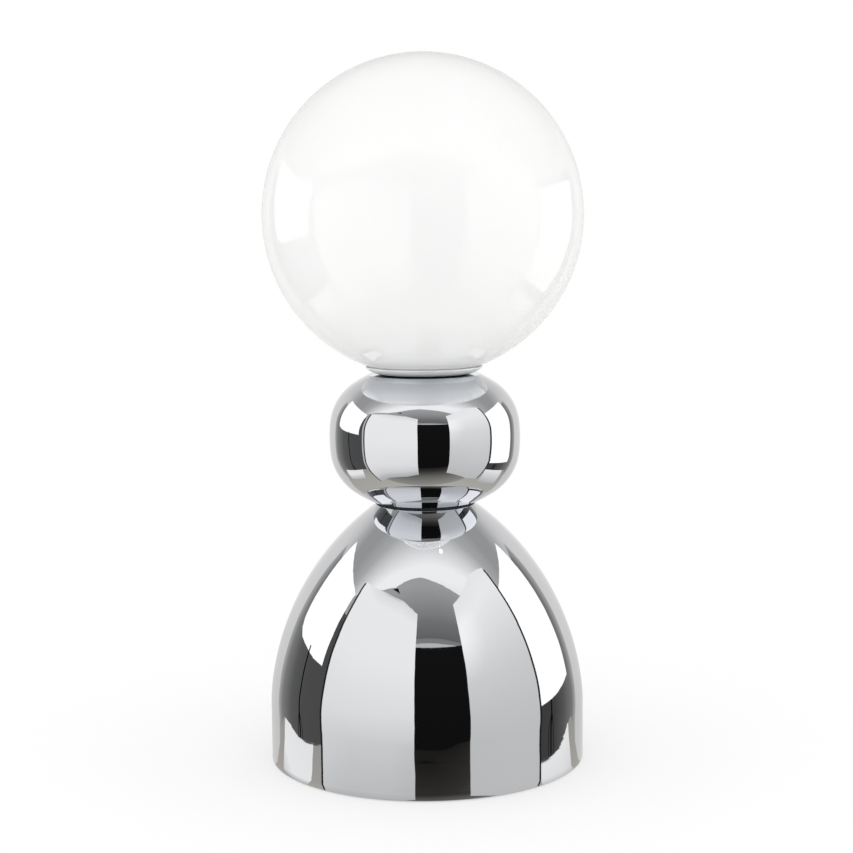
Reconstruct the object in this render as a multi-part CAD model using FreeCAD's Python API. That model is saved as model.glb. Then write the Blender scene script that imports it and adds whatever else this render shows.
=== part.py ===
import FreeCAD, Part
import math
import os

os.makedirs("parts", exist_ok=True)
V = FreeCAD.Vector

# Glass globe table lamp. Millimetres, +Z up, lamp axis on Z, resting face at z = 0, front on -Y.

# --- base: straight skirt, weight and pad ----------------------------------------------------
dome_r = 99.6
dome_wall = 1.2
dome_skirt_h = 34.5
dome_rim_z = 0.4
dome_r1 = 116.6
dome_a1 = 8.42
dome_top = 162.8
seat_r = 30.9
dome_in = dome_r - dome_wall

pad_t = 1.8
pad_inset = 1.0
ballast_gap = 0.9
ballast_t = 9.2
ballast_r = dome_in - ballast_gap
pad_r = ballast_r - pad_inset
ballast_top = pad_t + ballast_t
tab_t = 2.0
tab_h = 16.0
tab_w = 18.0
tab_in = 11.5
tab_x = ballast_r - tab_in
tab_angles = (30.0, 150.0, 270.0)
base_screw_r = 2.5
base_head_r = 4.6
base_head_h = 2.8

# --- cable gland -----------------------------------------------------------------------------
cable_r = 3.1
gland_z = 22.0
gland_neck_r = 5.6
gland_flange_r = 8.0
gland_proud = 2.0

# --- flattened ball on the neck washer --------------------------------------------------------
neck_t = 0.8
neck_inset = 0.9
pebble_foot = dome_top + neck_t
pebble_h = 80.6
pebble_top = pebble_foot + pebble_h
pebble_z = pebble_foot + pebble_h * 0.51
pebble_r = 60.2
pebble_side_r = 90.0
pebble_side_a = 6.0
pebble_bend_r = 34.0
pebble_bend_a = 56.5
pebble_wall = 1.2

# --- dish and globe ----------------------------------------------------------------------------
dish_gap = 0.6
dish_z = pebble_top + dish_gap
dish_rim_r = 36.85
dish_bend_r = 14.0
dish_flat_r = dish_rim_r - 9.85
dish_h = 4.6
dish_rim_z = dish_z + dish_h
dish_wall = 1.0
globe_r = 100.0
globe_wall = 3.0
globe_lift_gap = 0.641
globe_z = dish_rim_z + globe_lift_gap + math.sqrt(globe_r ** 2 - (dish_rim_r - 0.5) ** 2)
fitter_r = 29.2
mouth_r = fitter_r + 1.8
gasket_in = mouth_r + 0.4
gasket_out = dish_rim_r - dish_wall - 0.3

# --- threaded tube and its clamp stack ---------------------------------------------------------
tube_r = 5.0
tube_bore_r = 4.0
thread_gap = 0.02
clear_r = tube_r + 0.15
washer_t = 1.5
lock_t = 0.8
nut_t = 4.0
nut_af = 17.0
floor = dish_z + dish_wall
w0 = floor + 1.0
nut_z = w0 + washer_t + lock_t
nut_top = nut_z + nut_t
tube_high = nut_top + 7.9
tube_low = dome_top - dome_wall - washer_t - lock_t - nut_t - 5.3

# --- lampholder and bulb -----------------------------------------------------------------------
holder_r = 20.2
cap_neck_r = 18.6
cap_bore_r = 17.5
core_r = 17.4
core_z = nut_top + 16.9
core_top = core_z + 7.0
post_x = 11.0
shell_thread_r = 13.2
cap_thread_r = 13.1
tip_z = core_top + 3.0
bulb_r = 30.0
bulb_z = tip_z + 80.0


def polar(cx, cz, r, deg):
    a = math.radians(deg)
    return (cx + r * math.cos(a), cz + r * math.sin(a))


def loop(start, steps):
    """Closed outline in the XZ plane. A step of two numbers is a line, of four an arc."""
    edges = []
    here = V(start[0], 0, start[1])
    first = here
    for s in steps:
        end = V(s[-2], 0, s[-1])
        if end.distanceToPoint(here) < 1e-7:
            continue
        if len(s) == 4:
            edges.append(Part.Arc(here, V(s[0], 0, s[1]), end).toShape())
        else:
            edges.append(Part.makeLine(here, end))
        here = end
    if here.distanceToPoint(first) > 1e-7:
        edges.append(Part.makeLine(here, first))
    return Part.Face(Part.Wire(edges))


def turned(start, steps):
    return loop(start, steps).revolve(V(0, 0, 0), V(0, 0, 1), 360)


def ring(r0, r1, z0, z1, x=0.0, y=0.0):
    body = Part.makeCylinder(r1, z1 - z0, V(x, y, z0))
    if r0 > 0:
        body = body.cut(Part.makeCylinder(r0, z1 - z0 + 2, V(x, y, z0 - 1)))
    return body


def box(x0, x1, y0, y1, z0, z1):
    return Part.makeBox(x1 - x0, y1 - y0, z1 - z0, V(x0, y0, z0))


def hexagon(across, z0, z1, x=0.0, y=0.0):
    r = across / math.sqrt(3.0)
    pts = [V(x + r * math.cos(math.radians(60 * i)), y + r * math.sin(math.radians(60 * i)), z0)
           for i in range(7)]
    block = Part.Face(Part.makePolygon(pts)).extrude(V(0, 0, z1 - z0))
    h = z1 - z0
    cone = Part.makeCone(across / 2 + 0.15 + h, across / 2 + 0.15, h, V(x, y, z0))
    cone2 = Part.makeCone(across / 2 + 0.15, across / 2 + 0.15 + h, h, V(x, y, z0))
    return block.common(cone).common(cone2)


def turn(shape, deg):
    s = shape.copy()
    s.rotate(V(0, 0, 0), V(0, 0, 1), deg)
    return s


def around(shape, angles):
    return [turn(shape, a) for a in angles]


def wire_path(points, radii):
    """Straight runs joined by arcs, each bend with its own radius."""
    edges = []
    here = points[0]
    for i in range(1, len(points) - 1):
        p = points[i]
        a = (points[i - 1] - p).normalize()
        b = (points[i + 1] - p).normalize()
        half = a.getAngle(b) / 2
        t = radii[i - 1] / math.tan(half)
        s = p + a * t
        e = p + b * t
        c = p + (a + b).normalize() * (radii[i - 1] / math.sin(half))
        m = c + (p - c).normalize() * radii[i - 1]
        edges.append(Part.makeLine(here, s))
        edges.append(Part.Arc(s, m, e).toShape())
        here = e
    edges.append(Part.makeLine(here, points[-1]))
    return Part.Wire(edges)


def lead(points, radii, r):
    path = wire_path(points, radii)
    d = (points[1] - points[0]).normalize()
    disc = Part.Wire(Part.Circle(points[0], d, r).toShape())
    return path.makePipeShell([disc], True, True)


def save(name, shapes):
    if not isinstance(shapes, (list, tuple)):
        shapes = [shapes]
    solids = []
    for s in shapes:
        solids.extend(s.Solids)
    body = solids[0] if len(solids) == 1 else Part.Compound(solids)
    body.exportStep("parts/" + name + ".step")


# --- glass globe -----------------------------------------------------------------------------
def sphere_z(r, radius, centre):
    return centre - math.sqrt(radius * radius - r * r)


gi = globe_r - globe_wall
zo = sphere_z(mouth_r, globe_r, globe_z)
zi = sphere_z(mouth_r, gi, globe_z)
lip = 0.5
globe = turned((mouth_r, zi - lip), [
    (mouth_r, zo + lip),
    (mouth_r + 0.22, zo + 0.2, mouth_r + lip + 0.1, sphere_z(mouth_r + lip + 0.1, globe_r, globe_z)),
    (globe_r, globe_z, 0.0, globe_z + globe_r),
    (0.0, globe_z + gi),
    (gi, globe_z, mouth_r + lip, sphere_z(mouth_r + lip, gi, globe_z)),
])
save("globe", globe)

# --- dish, its washer, fitter and springs ----------------------------------------------------
bx = dish_flat_r
bz = dish_z + dish_bend_r
bi = dish_bend_r - dish_wall


def bend_z(r, radius):
    return bz - math.sqrt(radius * radius - (r - bx) ** 2)


def bend_mid(r, radius):
    a = math.asin((r - bx) / radius) / 2
    return (bx + radius * math.sin(a), bz - radius * math.cos(a))


rim_in = dish_rim_r - dish_wall
m_out = bend_mid(dish_rim_r, dish_bend_r)
m_in = bend_mid(rim_in, bi)
dish = turned((clear_r, dish_z), [
    (bx, dish_z),
    m_out + (dish_rim_r, bend_z(dish_rim_r, dish_bend_r)),
    (dish_rim_r, dish_rim_z - 0.3),
    (dish_rim_r - 0.09, dish_rim_z - 0.09, dish_rim_r - 0.3, dish_rim_z),
    (rim_in + 0.3, dish_rim_z),
    (rim_in, bend_z(rim_in, bi)),
    m_in + (bx, dish_z + dish_wall),
    (clear_r, dish_z + dish_wall),
])
save("dish", dish)
save("dish_washer", ring(clear_r, dish_flat_r - 0.5, pebble_top, dish_z))

g0 = gasket_in
g1 = gasket_out
gr = globe_r + 0.02
ga = (math.asin(g0 / gr) + math.asin(g1 / gr)) / 2
di = bi - 0.01
da = (math.asin((g0 - bx) / di) + math.asin((g1 - bx) / di)) / 2
gasket = turned((g0, bend_z(g0, di)), [
    (bx + di * math.sin(da), bz - di * math.cos(da), g1, bend_z(g1, di)),
    (g1, sphere_z(g1, gr, globe_z)),
    (gr * math.sin(ga), globe_z - gr * math.cos(ga), g0, sphere_z(g0, gr, globe_z)),
])
save("globe_gasket", gasket)

fit_r = fitter_r
fit_top = floor + 13.0
fb = 2.2
flat = min(dish_flat_r, fit_r - fb)
fitter = turned((clear_r, floor), [
    (flat, floor),
    (flat + fb * math.sin(math.pi / 4), floor + fb - fb * math.cos(math.pi / 4), fit_r, floor + fb),
    (fit_r, fit_top),
    (fit_r - 1.0, fit_top),
    (fit_r - 1.0, floor + fb),
    (flat + (fb - 1) * math.sin(math.pi / 4), floor + fb - (fb - 1) * math.cos(math.pi / 4),
     flat, floor + 1.0),
    (clear_r, floor + 1.0),
])
spring_angles = (90.0, 210.0, 330.0)
rivet_z = floor + 10.4
hole = Part.makeCylinder(1.02, 4, V(fit_r - 2.2, 0, rivet_z), V(1, 0, 0))
vent = Part.makeCylinder(3.5, 3, V(fit_r - 9.7, 0, floor - 1))
for a in spring_angles:
    fitter = fitter.cut(turn(hole, a))
for i in range(6):
    fitter = fitter.cut(turn(vent, 60 * i))
save("fitter_ring", fitter)

out = mouth_r - 0.2


def leaf_point(dx, dz):
    return (fit_r + dx, floor + dz)


leaf = loop(leaf_point(0.02, 12.6), [
    leaf_point(0.42, 12.6), leaf_point(0.42, 7.4), (out, floor + 4.5), (out, floor + 3.2),
    leaf_point(0.6, 1.4), leaf_point(0.2, 1.6), (out - 0.42, floor + 3.3), (out - 0.42, floor + 4.4),
    leaf_point(0.02, 7.3),
])
leaf = leaf.extrude(V(0, 6, 0))
leaf.translate(V(0, -3, 0))
leaf = leaf.cut(Part.makeCylinder(1.02, 4, V(fit_r - 1.2, 0, rivet_z), V(1, 0, 0)))
save("fitter_springs", around(leaf, spring_angles))
rivet = Part.makeCylinder(1.0, 2.4, V(fit_r - 1.5, 0, rivet_z), V(1, 0, 0))
rivet = rivet.fuse(Part.makeCylinder(1.8, 0.8, V(fit_r - 1.87, 0, rivet_z), V(1, 0, 0)))
rivet = rivet.fuse(Part.makeCylinder(1.8, 0.6, V(fit_r + 0.44, 0, rivet_z), V(1, 0, 0)))
save("fitter_rivets", around(rivet.removeSplitter(), spring_angles))

# --- clamp stack on the tube -----------------------------------------------------------------
save("clamp_washer", ring(clear_r, 12.0, w0, w0 + washer_t))


def toothed(z0, z1):
    body = ring(clear_r, 9.2, z0, z1)
    for i in range(10):
        body = body.cut(turn(box(7.6, 10.5, -0.5, 0.5, z0 - 1, z1 + 1), 36 * i))
    return body


save("upper_lock_washer", toothed(w0 + washer_t, nut_z))
nut = hexagon(nut_af, nut_z, nut_top).cut(Part.makeCylinder(tube_r + thread_gap, 8, V(0, 0, nut_z - 1)))
save("upper_nut", nut)
save("stem_tube", ring(tube_bore_r, tube_r, tube_low, tube_high))

# --- pebble: a spun hollow body with flat seats ----------------------------------------------
pc1x = pebble_r - pebble_side_r
pc2x = pc1x + (pebble_side_r - pebble_bend_r) * math.cos(math.radians(pebble_side_a))
pc2z = (pebble_side_r - pebble_bend_r) * math.sin(math.radians(pebble_side_a))
p_top_r = pebble_bend_r + pc2x / math.cos(math.radians(pebble_bend_a))
pc3z = pc2z - (p_top_r - pebble_bend_r) * math.sin(math.radians(pebble_bend_a))


def pebble_arcs(off, z_up, z_dn):
    """Flat edge, crown, bend, side, bend, crown, flat edge, from top to bottom."""
    rs = pebble_side_r - off
    rb = pebble_bend_r - off
    rt = p_top_r - off
    up = math.degrees(math.asin((z_up - pebble_z - pc3z) / rt))
    dn = math.degrees(math.asin((pebble_z - z_dn - pc3z) / rt))
    ba = pebble_bend_a
    sa = pebble_side_a
    z = pebble_z
    start = polar(0, z + pc3z, rt, up)
    steps = [
        polar(0, z + pc3z, rt, (up + ba) / 2) + polar(0, z + pc3z, rt, ba),
        polar(pc2x, z + pc2z, rb, (ba + sa) / 2) + polar(pc2x, z + pc2z, rb, sa),
        polar(pc1x, z, rs, 0) + polar(pc1x, z, rs, -sa),
        polar(pc2x, z - pc2z, rb, -(ba + sa) / 2) + polar(pc2x, z - pc2z, rb, -ba),
        polar(0, z - pc3z, rt, -(dn + ba) / 2) + polar(0, z - pc3z, rt, -dn),
    ]
    return start, steps


def backwards(start, steps):
    pts = [start] + [s[-2:] for s in steps]
    out = []
    for i in range(len(steps) - 1, -1, -1):
        out.append(steps[i][:2] + pts[i] if len(steps[i]) == 4 else pts[i])
    return pts[-1], out


ps, po = pebble_arcs(0, pebble_top, pebble_foot)
qs, qo = pebble_arcs(pebble_wall, pebble_top - pebble_wall, pebble_foot + pebble_wall)
qb, qr = backwards(qs, qo)
pebble = turned((clear_r, pebble_top), [ps] + po + [
    (clear_r, pebble_foot), (clear_r, pebble_foot + pebble_wall), qb] + qr + [
    (clear_r, pebble_top - pebble_wall)])
save("pebble_shell", pebble)
save("pebble_spacer", ring(5.2, 7.5, pebble_foot + pebble_wall, pebble_top - pebble_wall))
save("neck_washer", ring(clear_r, seat_r - neck_inset, dome_top, pebble_foot))

# --- dome: spun cover with a straight skirt ---------------------------------------------------
dc1x = dome_r - dome_r1
lx, lz = polar(dc1x, dome_skirt_h, dome_r1, dome_a1)
ux = math.cos(math.radians(dome_a1))
uz = math.sin(math.radians(dome_a1))
dome_r2 = ((lx - seat_r) ** 2 + (lz - dome_top) ** 2) / (2 * (ux * (lx - seat_r) + uz * (lz - dome_top)))
dc2x = dc1x + (dome_r1 - dome_r2) * math.cos(math.radians(dome_a1))
dc2z = dome_skirt_h + (dome_r1 - dome_r2) * math.sin(math.radians(dome_a1))


def dome_arcs(off, z_up):
    r2 = dome_r2 - off
    r1 = dome_r1 - off
    up = math.degrees(math.asin((z_up - dc2z) / r2))
    return [
        polar(dc1x, dome_skirt_h, r1, dome_a1 / 2) + polar(dc1x, dome_skirt_h, r1, dome_a1),
        polar(dc2x, dc2z, r2, (dome_a1 + up) / 2) + polar(dc2x, dc2z, r2, up),
    ]


outer = dome_arcs(0, dome_top)
inner = dome_arcs(dome_wall, dome_top - dome_wall)
ib, ir = backwards((dome_in, dome_skirt_h), inner)
dome = turned((dome_in, dome_rim_z), [
    (dome_r - 0.3, dome_rim_z),
    (dome_r - 0.09, dome_rim_z + 0.09, dome_r, dome_rim_z + 0.3),
    (dome_r, dome_skirt_h)] + outer + [
    (clear_r, dome_top), (clear_r, dome_top - dome_wall), ib] + ir)
dome = dome.cut(Part.makeCylinder(gland_neck_r, 20, V(0, dome_r - 10, gland_z), V(0, 1, 0)))
save("dome_shell", dome)

z = dome_top - dome_wall
save("dome_washer", ring(clear_r, 20.0, z - washer_t, z))
z = z - washer_t
save("lower_lock_washer", toothed(z - lock_t, z))
z = z - lock_t
low_nut = hexagon(nut_af, z - nut_t, z)
save("lower_nut", low_nut.cut(Part.makeCylinder(tube_r + thread_gap, nut_t + 2, V(0, 0, z - nut_t - 1))))


def bush(z_end, sign):
    z1 = z_end + sign * 1.0
    z2 = z_end - sign * 6.0
    flange = ring(2.9, 5.0, min(z_end, z1), max(z_end, z1))
    neck = ring(2.9, tube_bore_r - 0.02, min(z_end, z2), max(z_end, z2))
    return flange.fuse(neck).removeSplitter()


save("tube_bushes", [bush(tube_high, 1), bush(tube_low, -1)])

# --- gland in the back of the skirt -----------------------------------------------------------
neck_r = gland_neck_r - 0.02
g = Part.makeCylinder(neck_r, dome_wall + 3.6, V(0, dome_in - 2.8, gland_z), V(0, 1, 0))
g = g.fuse(Part.makeCylinder(gland_flange_r, gland_proud + 0.6, V(0, dome_r - 0.6, gland_z), V(0, 1, 0)))
g = g.fuse(Part.makeCylinder(gland_flange_r - 0.6, 3.0, V(0, dome_in - 3.0, gland_z), V(0, 1, 0)))
wall = ring(dome_in - 0.01, dome_r + 0.01, gland_z - 12, gland_z + 12)
wall = wall.cut(Part.makeCylinder(neck_r, 40, V(0, dome_r - 20, gland_z), V(0, 1, 0)))
g = g.cut(wall)
g = g.cut(Part.makeCylinder(cable_r, 20, V(0, dome_r - 10, gland_z), V(0, 1, 0)))
save("cable_gland", g.removeSplitter())

# --- ballast, its tabs and screws, pad --------------------------------------------------------
head_z = pad_t + base_head_h + 0.4
ballast = ring(0, ballast_r, pad_t, ballast_top)
for a in tab_angles:
    through = ring(0, base_screw_r + 0.25, pad_t - 1, ballast_top + 1, tab_x)
    ballast = ballast.cut(turn(through, a))
    ballast = ballast.cut(turn(ring(0, base_head_r + 0.6, pad_t - 1, head_z, tab_x), a))
block_y = 45.0
tap_z = head_z - 0.5
for sx in (-5.0, 5.0):
    ballast = ballast.cut(ring(0, 1.52, tap_z, ballast_top + 1, sx, block_y))
ballast = ballast.cut(ring(0, 2.02, tap_z - 1.0, ballast_top + 1, 0, 14.0))
save("ballast_plate", ballast)

tab = box(tab_x - 8, dome_in + 1, -tab_w / 2, tab_w / 2, ballast_top, ballast_top + tab_t)
upright = box(tab_x + 4, dome_in + 1, -tab_w / 2, tab_w / 2, ballast_top, ballast_top + tab_h)
tab = tab.fuse(upright.common(ring(dome_in - tab_t, dome_in + 1, ballast_top, ballast_top + tab_h)))
tab = tab.common(ring(0, dome_in, ballast_top - 1, ballast_top + tab_h + 1))
tab = tab.cut(ring(0, base_screw_r + thread_gap, ballast_top - 1, ballast_top + 5, tab_x))
save("mounting_tabs", around(tab.removeSplitter(), tab_angles))
tn = hexagon(8.0, ballast_top + tab_t, ballast_top + tab_t + 4, tab_x)
tn = tn.cut(ring(0, base_screw_r + thread_gap, ballast_top, ballast_top + 8, tab_x))
save("tab_nuts", around(tn, tab_angles))
screw = ring(0, base_screw_r, head_z, ballast_top + tab_t + 5.4, tab_x)
screw = screw.fuse(ring(0, base_head_r, head_z - base_head_h, head_z, tab_x))
cross = head_z - base_head_h - 0.4
screw = screw.cut(Part.makeBox(1.2, 12, 1.4, V(tab_x - 0.6, -6, cross)))
screw = screw.cut(Part.makeBox(12, 1.2, 1.4, V(tab_x - 6, -0.6, cross))).removeSplitter()
save("ballast_screws", around(screw, tab_angles))
save("base_pad", ring(0, pad_r, 0, pad_t))

# --- terminal block, leads, earth tag ---------------------------------------------------------
pole_x = (-10.0, 0.0, 10.0)
bore_z = ballast_top + 8.0
bt = ballast_top + 16.0
block = box(-16, 16, block_y - 10, block_y + 10, ballast_top, bt)
for px in pole_x:
    block = block.cut(Part.makeCylinder(1.6, 30, V(px, block_y - 15, bore_z), V(0, 1, 0)))
    for py in (block_y - 5.5, block_y + 5.5):
        block = block.cut(ring(0, 1.8, bore_z, bt + 1, px, py))
for sx in (-5.0, 5.0):
    block = block.cut(ring(0, 1.55, ballast_top - 1, bt, sx, block_y))
    block = block.cut(ring(0, 2.8, bt - 7.0, bt + 1, sx, block_y))
save("terminal_block", block)
clamps = []
for px in pole_x:
    for py in (block_y - 5.5, block_y + 5.5):
        c = ring(0, 1.78, bore_z + 0.9, bt - 1.0, px, py)
        clamps.append(c.cut(box(px - 0.3, px + 0.3, py - 3, py + 3, bt - 2.0, bt)))
save("block_clamp_screws", clamps)
fix = []
for sx in (-5.0, 5.0):
    c = ring(0, 1.5, tap_z + 0.5, bt - 7.0, sx, block_y)
    c = c.fuse(ring(0, 2.6, bt - 7.0, bt - 5.0, sx, block_y))
    slot = box(sx - 0.35, sx + 0.35, block_y - 4, block_y + 4, bt - 5.8, bt - 4)
    fix.append(c.cut(slot).removeSplitter())
save("block_screws", fix)

lead_r = 0.9
lead_top = core_z - 1.8
for name, sx in (("lead_live", -1), ("lead_neutral", 1)):
    pts = [V(sx * 10, block_y - 3.5, bore_z), V(sx * 10, block_y - 12, bore_z),
           V(sx * 1.25, 0, bore_z), V(sx * 1.25, 0, lead_top), V(sx * (post_x - 2.42), 0, lead_top)]
    save(name, lead(pts, [6.0, 14.0, 2.5], lead_r))
tag_z = ballast_top + 1.5
pts = [V(0, block_y - 3.5, bore_z), V(0, block_y - 16, bore_z), V(0, block_y - 16, tag_z),
       V(0, 21.5, tag_z)]
save("lead_earth", lead(pts, [3.0, 3.0], lead_r))
tag = ring(2.1, 4.5, ballast_top, ballast_top + 0.6, 0, 14.0)
tag = tag.fuse(box(-1.4, 1.4, 18.0, 21.0, ballast_top, ballast_top + 0.6))
tag = tag.fuse(box(-1.4, 1.4, 20.5, 24.5, ballast_top, ballast_top + 2.9))
tag = tag.cut(Part.makeCylinder(lead_r + 0.01, 10, V(0, 20.9, tag_z), V(0, 1, 0)))
save("earth_tag", tag.removeSplitter())
eh = ballast_top + 0.6
es = ring(0, 2.0, tap_z - 0.5, eh, 0, 14.0).fuse(ring(0, 3.6, eh, eh + 2.6, 0, 14.0))
save("earth_screw", es.cut(box(-0.4, 0.4, 8, 20, eh + 1.6, eh + 4)).removeSplitter())

# --- lampholder -------------------------------------------------------------------------------
nz = nut_top
shoulder = core_z - 4.0
cap = turned((tube_r + thread_gap, nz), [
    (9.5, nz), (9.5, nz + 3.9), (holder_r, shoulder), (cap_neck_r, shoulder),
    (cap_neck_r, core_z + 4.0), (cap_bore_r, core_z + 4.0), (cap_bore_r, core_z),
    (cap_bore_r - 1.5, core_z), (cap_bore_r - 1.5, shoulder + 0.5), (9.0, nz + 7.4),
    (tube_r + thread_gap, nz + 7.4),
])
grub_z = nz + 2.0
cap = cap.cut(Part.makeCylinder(1.52, 6, V(tube_r - 0.4, 0, grub_z), V(1, 0, 0)))
save("holder_cap", cap)
grub = Part.makeCylinder(1.5, 4.1, V(tube_r + 0.05, 0, grub_z), V(1, 0, 0))
grub = grub.cut(box(tube_r + 3.2, tube_r + 5, -3, 3, grub_z - 0.3, grub_z + 0.3))
save("holder_grub_screw", grub)

core = ring(0, core_r, core_z, core_top)
core = core.cut(ring(0, 2.0, core_z - 1, core_top + 1))
for sx in (-1, 1):
    core = core.cut(ring(0, 1.52, core_z - 1, core_top + 1, sx * post_x))
save("holder_core", core)
posts = []
for sx in (-1, 1):
    posts.append(ring(0, 2.4, core_z - 3.6, core_z, sx * post_x).fuse(
        ring(0, 1.5, core_z, core_top, sx * post_x)).removeSplitter())
save("holder_terminals", posts)
ct = core_top
st = shell_thread_r
shell = turned((st - 3.9, ct), [
    (st + 0.5, ct), (st + 0.5, ct + 21.5), (st, ct + 21.5), (st, ct + 0.5), (st - 3.9, ct + 0.5),
])
save("holder_thread_shell", shell)
tongue = loop((-5.0, ct), [
    (2.0, ct), (2.0, ct + 0.5), (-4.0, ct + 0.5), (2.5, ct + 2.5), (4.2, ct + 2.0), (4.4, ct + 2.3),
    (2.6, tip_z), (1.6, tip_z), (-5.0, ct + 0.9),
]).extrude(V(0, 5, 0))
tongue.translate(V(0, -2.5, 0))
tongue = tongue.fuse(ring(0, 1.98, core_z - 0.4, ct)).removeSplitter()
save("holder_centre_contact", tongue)
kt = ct + 23.0
sk = cap_neck_r + 0.02
skirt = turned((sk, shoulder), [
    (holder_r, shoulder), (holder_r, kt - 2.5), (holder_r - 0.7, kt - 0.8, holder_r - 2.4, kt),
    (st + 1.4, kt), (st + 1.4, kt - 1.0), (core_r - 0.4, kt - 2.0), (core_r - 0.4, ct), (sk, ct),
])
save("holder_skirt", skirt)

# --- bulb ---------------------------------------------------------------------------------
tip = turned((0, tip_z), [(3.2, tip_z), (4.03, tip_z + 0.32, 4.7, tip_z + 0.9),
                          (4.7, tip_z + 1.2), (0, tip_z + 1.2)])
save("bulb_tip_contact", tip)
ins = turned((0, tip_z + 1.2), [(4.7, tip_z + 1.2), (10.9, tip_z + 3.9), (10.9, tip_z + 5.2),
                                (0, tip_z + 5.2)])
save("bulb_cap_insulator", ins)
c1 = tip_z + 24.0
bc = turned((10.92, tip_z + 4.0), [
    (11.35, tip_z + 4.0), (cap_thread_r, tip_z + 6.8), (cap_thread_r, c1),
    (cap_thread_r - 0.3, c1), (cap_thread_r - 0.3, tip_z + 6.9), (11.2, tip_z + 4.6),
    (10.92, tip_z + 4.6),
])
save("bulb_cap", bc)

joint_z = bulb_z - 10.0
jr = math.sqrt(bulb_r ** 2 - (bulb_z - joint_z) ** 2)
nr = cap_thread_r - 0.32
ledge = joint_z - 3.1
body = turned((6.0, tip_z + 10), [
    (nr, tip_z + 10), (nr, c1), (nr + 1.42, c1), (nr + 1.82, c1 + 2),
    (jr - 7.8, joint_z - 24, jr, joint_z),
    (jr - 1.4, joint_z), (jr - 2.7, ledge), (jr - 3.9, ledge), (jr - 3.9, ledge - 1.7),
    (jr - 3.1, ledge - 1.7),
    (jr - 9.4, joint_z - 23.8, nr + 0.32, c1 + 3.0),
    (nr - 1.48, c1 + 1.0), (nr - 1.48, tip_z + 11.5), (6.0, tip_z + 11.5),
])
save("bulb_body", body)
inr = bulb_r - 1.2
jin = math.sqrt(inr ** 2 - (bulb_z - joint_z) ** 2)
diff = turned((jr, joint_z), [
    (bulb_r, bulb_z, 0, bulb_z + bulb_r), (0, bulb_z + inr),
    (inr, bulb_z, jin, joint_z),
])
save("bulb_diffuser", diff)
board_t = 1.6
board_top = ledge + board_t
save("led_board", ring(0, jr - 3.28, ledge, board_top))
leds = []
for i in range(10):
    leds.append(turn(box(jr - 12.7, jr - 9.2, -1.4, 1.4, board_top, board_top + 0.7), 36 * i))
leds.append(box(-1.4, 1.4, -1.75, 1.75, board_top, board_top + 0.7))
save("leds", leds)
save("driver_board", box(-9.5, 9.5, -0.8, 0.8, tip_z + 11.5, ledge))
comp = Part.makeCylinder(5.0, 18, V(0, 5.8, tip_z + 38))
coil = box(-6.5, 6.5, -10.8, -0.8, tip_z + 34, tip_z + 46)
save("driver_parts", [comp, coil])
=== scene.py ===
# %% [markdown]
# # A glass globe table lamp
#
# The lamp is four shapes on one axis: an opal glass globe, a shallow chrome dish, a flattened
# chrome ball and a chrome dome. Inside are the bulb, its holder and the threaded tube that
# clamps everything. The solids come packed from the drawing stage; here they get their finish,
# their light and a few finer pieces. Pieces and studio are written in millimetres, which MM
# turns into metres; the camera, the floor and the depths of bumps are in metres.

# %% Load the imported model
import math

import bpy
import bmesh
from mathutils import Matrix, Vector


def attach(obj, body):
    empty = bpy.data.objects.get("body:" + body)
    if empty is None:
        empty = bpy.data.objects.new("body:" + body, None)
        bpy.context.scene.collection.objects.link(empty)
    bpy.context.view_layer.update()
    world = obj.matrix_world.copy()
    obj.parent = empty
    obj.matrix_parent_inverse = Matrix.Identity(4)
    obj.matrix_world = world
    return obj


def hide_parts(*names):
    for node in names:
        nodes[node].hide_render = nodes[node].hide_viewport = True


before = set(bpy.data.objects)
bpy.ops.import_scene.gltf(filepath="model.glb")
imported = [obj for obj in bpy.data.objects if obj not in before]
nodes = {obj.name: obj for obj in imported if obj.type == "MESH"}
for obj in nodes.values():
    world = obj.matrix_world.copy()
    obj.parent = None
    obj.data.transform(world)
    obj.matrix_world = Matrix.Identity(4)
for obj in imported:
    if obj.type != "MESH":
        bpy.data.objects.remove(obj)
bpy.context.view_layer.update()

# %% [markdown]
# ## The camera
# The outline of the globe, ball and dome fixes the camera. It stands about 1.1 m in front and
# 34 cm up, tips down by a little under 7 degrees, and sees the lamp leaning half a degree,
# which is the camera's own roll. It comes first, because every later choice is judged from it.

# %% Place the camera
MM = 0.001
PHOTO_SIZE, FOCAL_PX, SENSOR = 853.0, 1752.6, 36.0
CAMERA_PLACE, TIP_DOWN, LEAN = (0.0, -1.0986, 0.33966), 6.681, -0.51
cam_data = bpy.data.cameras.new("photo_camera")
cam_data.sensor_width = SENSOR
cam_data.lens = SENSOR * FOCAL_PX / PHOTO_SIZE
cam_data.shift_x = 1.8 / PHOTO_SIZE
cam_data.clip_end = 50.0
camera = bpy.data.objects.new("photo_camera", cam_data)
bpy.context.scene.collection.objects.link(camera)
tilt = Matrix.Rotation(math.radians(90.0 - TIP_DOWN), 4, "X")
roll = Matrix.Rotation(math.radians(LEAN), 4, "Z")
camera.matrix_world = Matrix.Translation(CAMERA_PLACE) @ tilt @ roll
bpy.context.scene.camera = camera
print("lens %.2f mm" % cam_data.lens)

# %% [markdown]
# ## Helpers for materials
# A finish is a small tree of nodes. `finish` makes the shader and writes plain numbers on its
# sockets, `wire` joins two sockets, and the rest add a node with its settings. Every pattern
# reads Object coordinates, so it stays on the piece when the piece moves.

# %% Start a material


def new_material(name):
    m = bpy.data.materials.new(name)
    m.use_nodes = True
    m.node_tree.nodes.clear()
    return m, m.node_tree


def add(tree, kind, **settings):
    n = tree.nodes.new(kind)
    for key, value in settings.items():
        if key in n.inputs:
            n.inputs[key].default_value = value
        else:
            setattr(n, key, value)
    return n


def wire(tree, a, b):
    tree.links.new(a, b)


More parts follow.
